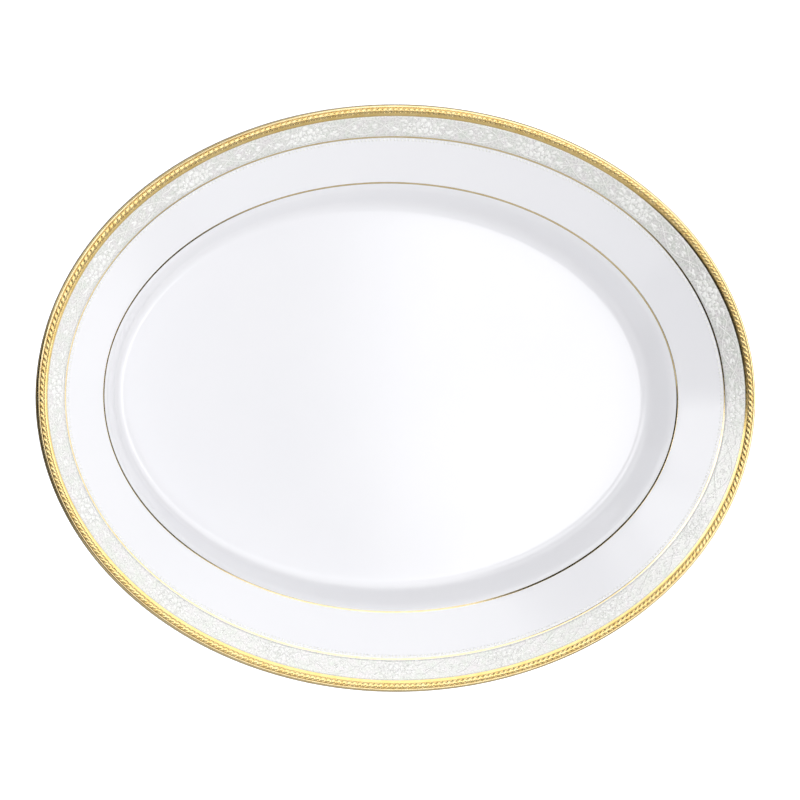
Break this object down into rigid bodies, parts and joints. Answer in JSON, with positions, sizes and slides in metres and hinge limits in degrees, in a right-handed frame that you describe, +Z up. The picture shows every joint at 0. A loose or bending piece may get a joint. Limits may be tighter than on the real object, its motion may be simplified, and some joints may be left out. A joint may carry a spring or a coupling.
{
  "type": "oval serving platter",
  "caption": "Oval white china serving platter with a broad sloping rim, a flat well, and a fired-on etched gold edge and raised white enamel flower border.",
  "frame": {"origin": "centre of the platter on the surface it stands on", "axes": "+X along the long axis of the oval, +Y along its short axis, +Z up out of the well"},
  "size_m": [0.356, 0.266, 0.031],
  "materials": {
    "china_glaze": "clear gloss glaze over white china, bare on the flat of the foot",
    "burnished_gold": "fired gold, burnished to a mirror",
    "etched_gold": "fired gold over an etched rope pattern",
    "pearl_enamel": "satin pearl enamel",
    "white_enamel": "raised glossy white enamel"
  },
  "bodies": {
    "root": {"china_body": "china_glaze", "gold_edge_line": "burnished_gold", "etched_gold_band": "etched_gold", "gold_inner_line": "burnished_gold", "enamel_ground": "pearl_enamel", "enamel_relief": "white_enamel", "gold_band_line": "burnished_gold", "enamel_bead_row": "white_enamel", "gold_shoulder_line": "burnished_gold"}
  },
  "joints": []
}
